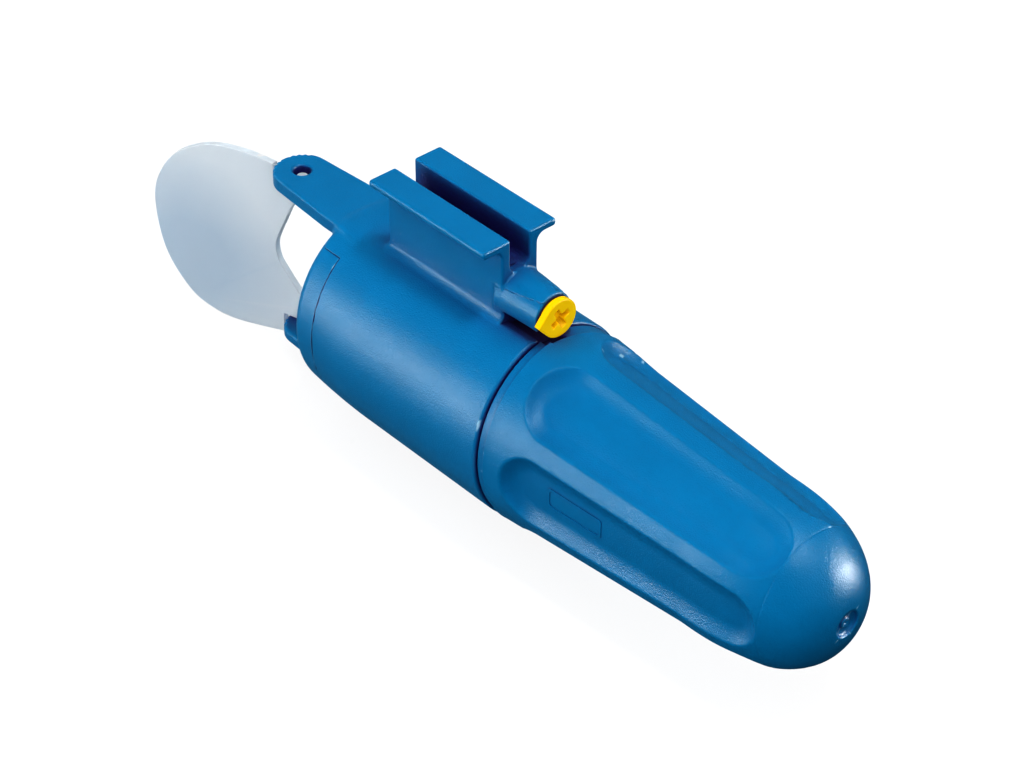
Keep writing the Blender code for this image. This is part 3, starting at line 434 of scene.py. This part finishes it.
def make_cap():
    """Cap drawn as rings from inside the rim, over the skin, to the dimple in the nose."""
    columns = cap_columns()
    rows = []
    rim = [(None, 0.15, 0.55), (None, 0.19, 0.45), (None, 0.28, 0.4), (-0.22, 0.0, 0.4)]
    rim += [(-0.1, 0.0, 0.38), (-0.03, 0.0, 0.31), (0.02, 0.0, 0.19), (0.06, 0.0, 0.08), (0.12, 0.0, 0.0)]
    rim += [(0.2, 0.0, -0.03), (0.34, 0.0, -0.01)]
    for number, (ahead, x, drop) in enumerate(rim):
        row = []
        for degrees in columns:
            place = x if ahead is None else band_edge(degrees) + ahead
            point = cap_point(place, degrees, drop)
            if number < 5 and 85.8 < degrees < 98.4:
                point = (point[0], point[1], min(point[2], 15.2))
            row.append(point)
        rows.append(row)
    for share in (0.3, 0.65, 1.0):
        row = []
        for degrees in columns:
            start = band_edge(degrees) + 0.34
            row.append(cap_point(start + (4.4 - start) * share, degrees))
        rows.append(row)
    spots = [(6.8, 2.2, 0.16), (50.6, 2.0, 0.16), (52.4, 0.2, 0.06)]
    stations = [x for x in lines(4.4, 59.3, 1.2, spots)[1:] if x < 57.4]
    for x in stations:
        rows.append([cap_point(x, degrees) for degrees in columns])
    last = math.asin((stations[-1] - NOSE_X) / NOSE_LENGTH)
    top = math.radians(81.5)
    for step in range(1, 15):
        x = NOSE_X + NOSE_LENGTH * math.sin(last + (top - last) * step / 14)
        rows.append([cap_point(x, degrees) for degrees in columns])
    dimple = [(2.5, 59.6), (2.34, 59.64), (2.2, 59.63), (2.1, 59.56), (2.0, 59.42), (1.92, 59.26)]
    dimple += [(1.75, 59.12), (1.5, 59.03), (1.25, 59.0), (1.05, 59.0), (0.94, 59.05), (0.87, 59.15)]
    dimple += [(0.77, 59.26), (0.6, 59.3), (0.4, 59.24), (0.2, 59.12)]
    for radius, x in dimple:
        row = []
        for degrees in columns:
            angle = math.radians(degrees)
            row.append((x, radius * math.cos(angle), radius * (0.96 + 0.04 * radius) * math.sin(angle)))
        rows.append(row)
    inside = [(0.15, 12.0), (0.35, 11.8), (8.5, 11.8), (20.0, 10.9), (35.0, 9.7), (50.0, 8.5)]
    inside += [(54.6, 8.5), (56.0, 7.0), (56.5, 5.0), (56.5, 2.0)]
    inner_rows = []
    for x, radius in inside:
        inner_rows.append([(x, radius * math.cos(math.radians(d)), radius * math.sin(math.radians(d)))
                           for d in columns])
    points = [(59.0, 0.0, 0.0), (56.5, 0.0, 0.0)]
    count = len(columns)
    ordered = inner_rows[::-1] + rows
    for row in ordered:
        points += row
    faces = []
    for level in range(len(ordered) - 1):
        low = 2 + level * count
        high = low + count
        for k in range(count):
            after = (k + 1) % count
            faces.append((low + k, high + k, high + after, low + after))
    final = 2 + (len(ordered) - 1) * count
    for k in range(count):
        after = (k + 1) % count
        faces.append((1, 2 + k, 2 + after))
        faces.append((0, final + after, final + k))
    points = (np.array(points) + SEAM) * MM
    return mesh_object("cap_shell", points, faces, 50.0)


def make_frame():
    """Thin raised frame, left blank, on the floor of the recess that faces starboard."""
    path = []
    corners = (
        (BADGE_FRONT_X, 4.6, 0.0), (BADGE_REAR_X, 4.6, 90.0),
        (BADGE_REAR_X, -6.6, 180.0), (BADGE_FRONT_X, -6.6, 270.0))
    for corner_x, corner_turn, start in corners:
        for step in range(5):
            angle = math.radians(start + 22.5 * step)
            path.append((corner_x + 0.6 * math.cos(angle), 180.0 + corner_turn + 2.3 * math.sin(angle)))
    points = []
    for shrink, drop in ((0.0, -0.13), (0.35, -0.13), (0.35, 0.2), (0.0, 0.2)):
        for x, degrees in path:
            x += shrink if x < BADGE_CENTRE_X else -shrink
            degrees += shrink * 3.8 if degrees < BADGE_CENTRE_TURN else -shrink * 3.8
            points.append((np.array(cap_point(x, degrees, drop)) + SEAM) * MM)
    count = len(path)
    faces = []
    for level in range(4):
        low = level * count
        high = (level + 1) % 4 * count
        for k in range(count):
            after = (k + 1) % count
            faces.append((low + k, high + k, high + after, low + after))
    return mesh_object("blank_frame", points, faces, 40.0)


# ------------------------------------------------------------------- rudder

RUDDER_HALF = 0.6
RUDDER_TURN = math.radians(15.0)
PIN_R = 0.95
PIN_SIDES = 32
PIN_SPANS = ((12.4, 14.8), (-15.3, -13.3))


def smooth_path(corners, steps):
    """Open Catmull-Rom curve through the corners."""
    points = []
    padded = [corners[0]] + list(corners) + [corners[-1]]
    for index in range(len(corners) - 1):
        before, start, end, after = (np.array(padded[index + k]) for k in range(4))
        for step in range(steps):
            t = step / steps
            bend = 2 * before - 5 * start + 4 * end - after
            twist = 3 * start - before - 3 * end + after
            points.append(0.5 * (2 * start + (end - before) * t + bend * t * t + twist * t ** 3))
    points.append(np.array(corners[-1]))
    return [tuple(point) for point in points]


def make_rudder():
    """Plate with a concave leading edge and a rounded rim, turned to its rest angle."""
    front = [
        (1.3, 11.0), (-0.7, 9.9), (-2.1, 8.3), (-3.8, 4.6), (-5.3, 1.2), (-5.7, -0.6), (-5.5, -2.3),
        (-4.8, -3.9), (-1.6, -8.1), (0.2, -9.8), (1.3, -10.8),
    ]
    tail = [
        (-5.06, -17.5), (-14.6, -19.0), (-19.8, -18.7), (-24.4, -16.7), (-28.8, -11.1), (-30.6, -3.9),
        (-30.1, 3.15), (-25.6, 10.15), (-18.4, 14.35), (-11.2, 15.55), (-5.36, 15.35),
    ]
    outline = [(-5.1, 12.9), (1.3, 12.9)] + smooth_path(front, 7)
    outline += [(1.3, -13.8), (-4.75, -13.8)] + smooth_path(tail, 9)
    cosine = math.cos(RUDDER_TURN)
    sine = math.sin(RUDDER_TURN)
    points = []
    for side in (-RUDDER_HALF, RUDDER_HALF):
        for x, z in outline:
            spot = (PIVOT_X + x * cosine - side * sine, x * sine + side * cosine, z)
            points.append((np.array(spot) + SEAM) * MM)
    count = len(outline)
    faces = [tuple(range(count - 1, -1, -1)), tuple(range(count, 2 * count))]
    for k in range(count):
        after = (k + 1) % count
        faces.append((k, after, count + after, count + k))
    for span in PIN_SPANS:
        low = len(points)
        high = low + PIN_SIDES
        for z in span:
            for k in range(PIN_SIDES):
                angle = TURN * k / PIN_SIDES
                spot = (PIVOT_X + PIN_R * math.cos(angle), PIN_R * math.sin(angle), z)
                points.append((np.array(spot) + SEAM) * MM)
        faces.append(tuple(low + k for k in reversed(range(PIN_SIDES))))
        faces.append(tuple(high + k for k in range(PIN_SIDES)))
        for k in range(PIN_SIDES):
            after = (k + 1) % PIN_SIDES
            faces.append((low + k, low + after, high + after, high + k))
    piece = mesh_object("rudder_blade", points, faces)
    rim = piece.modifiers.new("rim", "BEVEL")
    rim.width = 0.3 * MM
    rim.segments = 4
    rim.limit_method = "ANGLE"
    rim.angle_limit = math.radians(40.0)
    rim.harden_normals = True
    return piece


# --------------------------------------------------------------- propeller

HUB_PROFILE = (
    (-44.45, 1.3), (-47.85, 1.3), (-48.0, 1.45), (-48.0, 2.1), (-47.75, 2.35), (-44.55, 2.4),
    (-44.3, 2.2), (-44.3, 1.45),
)
HUB_SIDES = 48
BLADES = 3
BLADE_X = -46.15
BLADE_PITCH = 20.0
BLADE_SIDES = 16
# Radius and chord of a blade, from root to tip.
BLADE_CHORDS = ((2.05, 3.6), (3.6, 5.2), (5.6, 6.6), (7.4, 6.2), (8.5, 4.4), (9.0, 2.0))


def make_propeller():
    """Hub and three twisted blades, each blade a closed loft that starts inside the hub."""
    points = []
    faces = []

    def add(rings, closed=False):
        base = len(points)
        size = len(rings[0])
        for ring in rings:
            points.extend((np.array(p) + SEAM) * MM for p in ring)
        pairs = list(range(len(rings) - 1))
        for level in pairs + ([len(rings) - 1] if closed else []):
            low = base + level * size
            high = base + (level + 1) % len(rings) * size
            for k in range(size):
                after = (k + 1) % size
                faces.append((low + k, high + k, high + after, low + after))
        if not closed:
            faces.append(tuple(base + k for k in range(size)))
            faces.append(tuple(base + pairs[-1] * size + size + k for k in reversed(range(size))))

    turns = [TURN * k / HUB_SIDES for k in range(HUB_SIDES)]
    add([[(x, r * math.cos(turn), r * math.sin(turn)) for turn in turns] for x, r in HUB_PROFILE], True)
    stations = smooth_path(BLADE_CHORDS, 3)
    for blade in range(BLADES):
        swing = TURN * blade / BLADES
        rings = []
        for radius, chord in stations:
            pitch = math.atan(BLADE_PITCH / (TURN * radius))
            half = chord / 2.0
            thick = 0.52 * (1.3 - 0.06 * radius)
            ring = []
            for k in range(BLADE_SIDES):
                angle = TURN * k / BLADE_SIDES
                along = half * math.cos(angle)
                out = thick * math.sin(angle)
                x = BLADE_X + along * math.sin(pitch) + out * math.cos(pitch)
                z = along * math.cos(pitch) - out * math.sin(pitch)
                y = radius * math.cos(swing) - z * math.sin(swing)
                ring.append((x, y, radius * math.sin(swing) + z * math.cos(swing)))
            rings.append(ring)
        add(rings)
    piece = mesh_object("propeller_wheel", points, faces, 40.0)
    bpy.context.view_layer.objects.active = piece
    piece.select_set(True)
    bpy.ops.object.mode_set(mode="EDIT")
    bpy.ops.mesh.select_all(action="SELECT")
    bpy.ops.mesh.normals_make_consistent(inside=False)
    bpy.ops.object.mode_set(mode="OBJECT")
    piece.select_set(False)
    return piece


# ---------------------------------------------------------------- materials

GRAIN_DEPTH = 0.00008
TOOL_MARK_DEPTH = 0.00002
FROST_DEPTH = 0.00003
HOLLOW_REACH = 0.006
# Painted light: strength of the yellow knob's glow.
KNOB_PAINTED_LIGHT = 0.2
# Middle of the rudder's painted shade, and the distances over which it pales into painted light.
FROST_SHADE_CENTRE = (-0.0605, -0.006, -0.0389)
FROST_START = 0.010
FROST_END = 0.024


def new_material(name):
    material = bpy.data.materials.new(name)
    material.use_nodes = True
    tree = material.node_tree
    return material, tree, tree.nodes["Principled BSDF"]


def noise(tree, scale, detail=3.0, rough=0.5, stretch=(1.0, 1.0, 1.0)):
    """Noise in the object's own coordinates, with scale in features per millimetre."""
    where = tree.nodes.new("ShaderNodeTexCoord")
    sized = tree.nodes.new("ShaderNodeMapping")
    sized.inputs["Scale"].default_value = [scale * 1000.0 * s for s in stretch]
    node = tree.nodes.new("ShaderNodeTexNoise")
    node.inputs["Scale"].default_value = 1.0
    node.inputs["Detail"].default_value = detail
    node.inputs["Roughness"].default_value = rough
    tree.links.new(where.outputs["Object"], sized.inputs["Vector"])
    tree.links.new(sized.outputs["Vector"], node.inputs["Vector"])
    return node.outputs["Fac"]


def spread(tree, value, low, high, start=0.3, end=0.7):
    """Value between start and end stretched to run from low to high."""
    node = tree.nodes.new("ShaderNodeMapRange")
    node.inputs["From Min"].default_value = start
    node.inputs["From Max"].default_value = end
    node.inputs["To Min"].default_value = low
    node.inputs["To Max"].default_value = high
    tree.links.new(value, node.inputs["Value"])
    return node.outputs["Result"]


def mixed(tree, factor, first, second):
    """Blend of two fixed colours."""
    node = tree.nodes.new("ShaderNodeMix")
    node.data_type = "RGBA"
    node.inputs["A"].default_value = (*first, 1.0)
    node.inputs["B"].default_value = (*second, 1.0)
    tree.links.new(factor, node.inputs["Factor"])
    return node.outputs["Result"]


def edge_sheen_and_wear(tree, colour, edge_sheen_colour, amount, start=0.53, end=0.62):
    """Colour that pales a little along convex edges: a painted highlight on the rounded edges, partly also
    wear where handling polishes it.
    """
    shape = tree.nodes.new("ShaderNodeNewGeometry")
    edge = spread(tree, shape.outputs["Pointiness"], 0.0, amount, start, end)
    node = tree.nodes.new("ShaderNodeMix")
    node.data_type = "RGBA"
    node.inputs["B"].default_value = (*edge_sheen_colour, 1.0)
    tree.links.new(edge, node.inputs["Factor"])
    tree.links.new(colour, node.inputs["A"])
    return node.outputs["Result"]


def painted_hollow_shade(tree, colour, dark, reach, start, end):
    """Painted shade: colour that deepens in channels and corners closer together than reach."""
    hollow_shade = tree.nodes.new("ShaderNodeAmbientOcclusion")
    hollow_shade.inputs["Distance"].default_value = reach
    hollow_shade.samples = 6
    node = tree.nodes.new("ShaderNodeMix")
    node.data_type = "RGBA"
    node.inputs["A"].default_value = (*dark, 1.0)
    tree.links.new(spread(tree, hollow_shade.outputs["AO"], 0.0, 1.0, start, end), node.inputs["Factor"])
    tree.links.new(colour, node.inputs["B"])
    return node.outputs["Result"]


def bump(tree, shader, height, strength, distance):
    """Relief of the surface, with distance in metres."""
    node = tree.nodes.new("ShaderNodeBump")
    node.inputs["Strength"].default_value = strength
    node.inputs["Distance"].default_value = distance
    tree.links.new(height, node.inputs["Height"])
    tree.links.new(node.outputs["Normal"], shader.inputs["Normal"])


def plastic(name, dark, light, roughness, grain, strength, specular=0.4, edge=None, edge_sheen_amount=0.0, hollow_shade=None,
            reach=HOLLOW_REACH):
    """Moulded plastic: faint blotches of colour, a fine eroded grain, pale edges (painted highlight,
    partly rubbed wear), painted shade in hollows.
    """
    material, tree, shader = new_material(name)
    colour = mixed(tree, spread(tree, noise(tree, 0.12), 0.0, 1.0), dark, light)
    # Pale edges: painted highlight on convex edges, partly rubbed wear.
    if edge is not None:
        colour = edge_sheen_and_wear(tree, colour, edge, edge_sheen_amount)
    # Painted shade: colour darkens in hollows.
    if hollow_shade is not None:
        colour = painted_hollow_shade(tree, colour, hollow_shade, reach, 0.42, 0.9)
    tree.links.new(colour, shader.inputs["Base Color"])
    low, high = roughness
    tree.links.new(spread(tree, noise(tree, 0.5, 5.0, 0.6), low, high), shader.inputs["Roughness"])
    shader.inputs["Specular IOR Level"].default_value = specular
    bump(tree, shader, noise(tree, grain, 2.0, 0.6), strength, GRAIN_DEPTH)
    return material


def metal(name, dark, light, roughness, stretch):
    """Plain metal with drawn or turned marks along its stretch."""
    material, tree, shader = new_material(name)
    colour = mixed(tree, spread(tree, noise(tree, 0.3), 0.0, 1.0), dark, light)
    tree.links.new(colour, shader.inputs["Base Color"])
    shader.inputs["Metallic"].default_value = 1.0
    low, high = roughness
    marks = noise(tree, 2.0, 4.0, 0.6, stretch)
    tree.links.new(spread(tree, marks, low, high), shader.inputs["Roughness"])
    bump(tree, shader, marks, 0.15, TOOL_MARK_DEPTH)
    return material


def frosted(name):
    """Frosted translucent plastic with painted light and shade: it pales towards its front and rim, and
    its rim edges carry a painted highlight.
    """
    material, tree, shader = new_material(name)
    where = tree.nodes.new("ShaderNodeTexCoord")
    away = tree.nodes.new("ShaderNodeVectorMath")
    away.operation = "DISTANCE"
    away.inputs[1].default_value = FROST_SHADE_CENTRE
    tree.links.new(where.outputs["Object"], away.inputs[0])
    uneven = tree.nodes.new("ShaderNodeMath")
    uneven.operation = "MULTIPLY_ADD"
    uneven.inputs[1].default_value = 0.006
    tree.links.new(noise(tree, 0.06), uneven.inputs[0])
    tree.links.new(away.outputs["Value"], uneven.inputs[2])
    # Painted light and shade: the blade is deeper near one point and pales away from it.
    painted_light_share = spread(tree, uneven.outputs["Value"], 0.0, 1.0, FROST_START, FROST_END)
    tint_with_painted_light = mixed(tree, painted_light_share, (0.49, 0.64, 0.77), (0.80, 0.88, 0.94))
    # Painted highlight: convex rim edges pale to white.
    tint_with_painted_light = edge_sheen_and_wear(tree, tint_with_painted_light, (1.0, 1.0, 1.0), 1.0, 0.51, 0.56)
    tree.links.new(tint_with_painted_light, shader.inputs["Base Color"])
    tree.links.new(spread(tree, noise(tree, 0.6, 4.0), 0.42, 0.55), shader.inputs["Roughness"])
    shader.inputs["Transmission Weight"].default_value = 0.3
    shader.inputs["IOR"].default_value = 1.3
    shader.inputs["Specular IOR Level"].default_value = 0.3
    bump(tree, shader, noise(tree, 5.0, 2.0), 0.2, FROST_DEPTH)
    return material


# Blue body: its pale edge colour is a painted highlight, partly rubbed wear, and its deep violet colour is
# painted shade in hollows.
BLUE = plastic("blue_body", (0.0, 0.240, 0.51), (0.0, 0.265, 0.56), (0.28, 0.35), 4.6, 0.9, 0.12,
               (0.45, 0.75, 0.95), 0.9, (0.045, 0.035, 0.20))
RELIEF = plastic("blue_relief", (0.0, 0.240, 0.51), (0.0, 0.265, 0.56), (0.30, 0.38), 6.5, 0.5, 0.12)
FROST = frosted("frosted_blade")
# Yellow knob: pale edges are a painted highlight, partly wear, and the brown is painted shade in the cross
# recess and small hollows.
YELLOW = plastic("yellow_knob", (0.95, 0.62, 0.003), (1.0, 0.69, 0.005), (0.34, 0.44), 4.0, 0.15, 0.04,
                 (1.0, 0.80, 0.10), 0.3, (0.40, 0.14, 0.0), 0.0012)
# Painted light: the knob glows yellow to look brighter, though it is no lamp.
knob_shader = YELLOW.node_tree.nodes["Principled BSDF"]
knob_shader.inputs["Emission Color"].default_value = (1.0, 0.60, 0.0, 1.0)
knob_shader.inputs["Emission Strength"].default_value = KNOB_PAINTED_LIGHT
DARK = plastic("dark_moulding", (0.02, 0.02, 0.024), (0.034, 0.034, 0.04), (0.4, 0.52), 5.0, 0.25)
WHITE = plastic("white_moulding", (0.66, 0.65, 0.60), (0.72, 0.71, 0.67), (0.4, 0.5), 5.0, 0.2)
RUBBER = plastic("seal_rubber", (0.012, 0.012, 0.012), (0.02, 0.02, 0.02), (0.7, 0.85), 6.0, 0.4, 0.25)
STEEL = metal("plated_steel", (0.50, 0.51, 0.52), (0.60, 0.61, 0.62), (0.22, 0.38), (0.2, 2.0, 2.0))
BRASS = metal("turned_brass", (0.62, 0.43, 0.16), (0.76, 0.55, 0.23), (0.2, 0.36), (3.0, 0.4, 0.4))
COPPER = metal("bare_copper", (0.68, 0.29, 0.14), (0.80, 0.38, 0.20), (0.25, 0.42), (3.0, 0.5, 0.5))
FERRITE = plastic("sintered_ferrite", (0.05, 0.045, 0.04), (0.08, 0.073, 0.066), (0.6, 0.8), 3.0, 0.4, 0.3)
SLEEVE = plastic("cell_sleeve", (0.20, 0.21, 0.23), (0.27, 0.28, 0.31), (0.25, 0.38), 2.0, 0.05, 0.5)

FINISH = {
    "dark_plastic": DARK,
    "white_plastic": WHITE,
    "rubber": RUBBER,
    "steel": STEEL,
    "brass": BRASS,
    "copper": COPPER,
    "ferrite": FERRITE,
    "cell_sleeve": SLEEVE,
    "blue_plastic": BLUE,
    "clear_plastic": FROST,
    "yellow_plastic": YELLOW,
}


def place(piece, body, node, slot, material):
    """Give a piece its material and let it ride its body in place of the CAD node."""
    piece.data.materials.clear()
    piece.data.materials.append(material)
    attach(piece, body)
    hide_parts(node)


# -------------------------------------------------------------------- build

def make_housing():
    """Housing skin, on grid lines that close up near its edges."""
    xs = lines(-62.6, 0.9, 0.95, [
        (-59.3, 3.6, 0.19), (-42.8, 1.6, 0.28), (COVER_SEAM_X, 0.1, 0.1), (RAIL_REAR_X, 0.3, 0.1),
        (RAIL_FRONT_X, 0.3, 0.1), (-0.2, 0.5, 0.13), (-3.5, 3.4, 0.34)])
    ys = lines(-16.0, 16.0, 0.75, [
        (-7.05, 0.3, 0.11), (7.05, 0.3, 0.11), (-5.3, 0.4, 0.2), (5.3, 0.4, 0.2), (-3.4, 0.4, 0.15),
        (3.4, 0.4, 0.15), (-1.86, 0.2, 0.12), (1.86, 0.2, 0.12)])
    zs = lines(-17.8, 30.6, 0.7, [
        (-16.0, 0.4, 0.14), (-14.1, 0.3, 0.14), (13.4, 0.3, 0.13), (15.9, 0.5, 0.13), (18.0, 0.2, 0.14),
        (22.0, 0.6, 0.24), (28.4, 0.2, 0.13), (29.5, 0.5, 0.11)])
    return skin("housing_shell", housing_field, xs, ys, zs, SEAM)


def make_cover():
    xs = lines(-44.0, -35.6, 0.5, [(-43.0, 0.5, 0.15), (COVER_SEAM_X, 0.3, 0.08)])
    ys = lines(-16.0, 16.0, 0.5, [(0.0, 3.2, 0.3)])
    zs = lines(-14.8, 14.2, 0.5, [(TAB_LOW[1], 0.2, 0.1), (TAB_TOP[0], 0.2, 0.1), (0.0, 3.2, 0.3)])
    return skin("cover_shell", cover_field, xs, ys, zs, SEAM)


def make_knob():
    xs = lines(-9.2, 2.2, 0.4, [(1.2, 0.9, 0.08)])
    ys = lines(-4.6, 3.7, 0.11, [])
    zs = lines(-3.7, 3.7, 0.11, [])
    return skin("knob_head", knob_field, xs, ys, zs, SEAM + np.array((0.0, 0.0, KNOB_Z)))


slot_of = {entry["node"]: entry["material_slot"] for entry in frame["record"]["subparts"]}
for name, node in frame["nodes"].items():
    node.data.materials.clear()
    node.data.materials.append(FINISH[slot_of[name]])

place(make_housing(), "housing", "motor_housing", "blue_plastic", BLUE)
place(make_cover(), "housing", "rear_cover", "blue_plastic", BLUE)
place(make_cap(), "cap", "battery_cap", "blue_plastic", BLUE)
badge = make_frame()
badge.data.materials.append(RELIEF)
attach(badge, "cap")
place(make_rudder(), "rudder", "rudder", "clear_plastic", FROST)
place(make_knob(), "knob", "lock_knob", "yellow_plastic", YELLOW)
place(make_propeller(), "rotor", "propeller", "dark_plastic", DARK)


# ------------------------------------------------------- floor, light, camera

FLOOR_HALF = 1.5
FLOOR_GAP = 0.0002
FLOOR_GLOW = 0.62
OBJECT_MIDDLE = Vector((0.0, 0.0, -0.03))
WORLD_BRIGHT_SIDE = (-0.45, -0.35, 0.82)
# Name, azimuth and elevation in degrees, distance, width and height in metres, watts.
GLOSS_LIGHTS = (
    ("box_left", -125.0, -6.0, 0.7, 0.20, 0.20, 23.0),
    ("box_right", 46.0, 10.0, 0.7, 0.10, 0.10, 19.0),
    ("box_top", 0.0, 70.0, 0.8, 0.2, 0.2, 7.0),
)
FILL_LIGHTS = (
    ("key_top", 0.0, 73.0, 1.0, 0.14, 0.14, 2.1),
    ("fill_left", -118.0, 8.0, 1.0, 0.4, 0.3, 2.2),
    ("fill_front", -15.0, 22.0, 1.0, 0.4, 0.3, 1.1),
    ("fill_right", 75.0, 25.0, 1.0, 0.4, 0.3, 1.0),
)
CAMERA_PLACE = (0.251503, -0.217572, 0.223839)
CAMERA_BACK = (0.585452, -0.530159, 0.613333)
CAMERA_RIGHT = (0.66905, 0.743208, 0.003784)
LENS = 96.087
SENSOR = 36.0


def make_floor():
    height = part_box("rudder")[0].z - FLOOR_GAP
    size = FLOOR_HALF
    points = [(-size, -size, height), (size, -size, height), (size, size, height), (-size, size, height)]
    piece = mesh_object("floor", points, [(0, 1, 2, 3)])
    material, tree, shader = new_material("floor_white")
    colour = mixed(tree, noise(tree, 0.01), (0.20, 0.20, 0.20), (0.22, 0.22, 0.22))
    tree.links.new(colour, shader.inputs["Base Color"])
    shader.inputs["Roughness"].default_value = 0.9
    shader.inputs["Specular IOR Level"].default_value = 0.0
    shader.inputs["Emission Color"].default_value = (1.0, 1.0, 1.0, 1.0)
    shader.inputs["Emission Strength"].default_value = FLOOR_GLOW
    piece.data.materials.append(material)
    piece.visible_diffuse = False
    piece.visible_glossy = False


def soft_light(name, azimuth, elevation, distance, width, height, power):
    """Area light that faces the middle of the object."""
    data = bpy.data.lights.new(name, "AREA")
    data.shape = "RECTANGLE"
    data.size = width
    data.size_y = height
    data.energy = power
    lamp = bpy.data.objects.new(name, data)
    bpy.context.scene.collection.objects.link(lamp)
    a = math.radians(azimuth)
    e = math.radians(elevation)
    away = Vector((math.cos(a) * math.cos(e), math.sin(a) * math.cos(e), math.sin(e)))
    lamp.location = OBJECT_MIDDLE + away * distance
    lamp.rotation_euler = away.to_track_quat("Z", "Y").to_euler()
    return lamp


def make_light():
    """Pale surround that falls off towards the nose and the floor, and soft boxes for the gloss."""
    world = bpy.data.worlds.new("studio")
    world.use_nodes = True
    tree = world.node_tree
    direction = tree.nodes.new("ShaderNodeTexCoord")
    facing = tree.nodes.new("ShaderNodeVectorMath")
    facing.operation = "DOT_PRODUCT"
    facing.inputs[1].default_value = WORLD_BRIGHT_SIDE
    tree.links.new(direction.outputs["Generated"], facing.inputs[0])
    glow = spread(tree, facing.outputs["Value"], 0.03, 0.45, -0.6, 0.7)
    tree.nodes["Background"].inputs["Color"].default_value = (1.0, 1.0, 1.0, 1.0)
    tree.links.new(glow, tree.nodes["Background"].inputs["Strength"])
    bpy.context.scene.world = world
    for row in GLOSS_LIGHTS:
        soft_light(*row).visible_diffuse = False
    for row in FILL_LIGHTS:
        soft_light(*row)


def make_camera():
    data = bpy.data.cameras.new("camera")
    data.sensor_width = SENSOR
    data.lens = LENS
    data.clip_end = 20.0
    camera = bpy.data.objects.new("camera", data)
    bpy.context.scene.collection.objects.link(camera)
    back = Vector(CAMERA_BACK).normalized()
    right = Vector(CAMERA_RIGHT).normalized()
    turn = Matrix((right, back.cross(right), back)).transposed().to_4x4()
    camera.matrix_world = Matrix.Translation(CAMERA_PLACE) @ turn
    bpy.context.scene.camera = camera


make_floor()
make_light()
make_camera()
bpy.context.scene.view_settings.view_transform = "Standard"
bpy.context.scene.view_settings.look = "High Contrast"
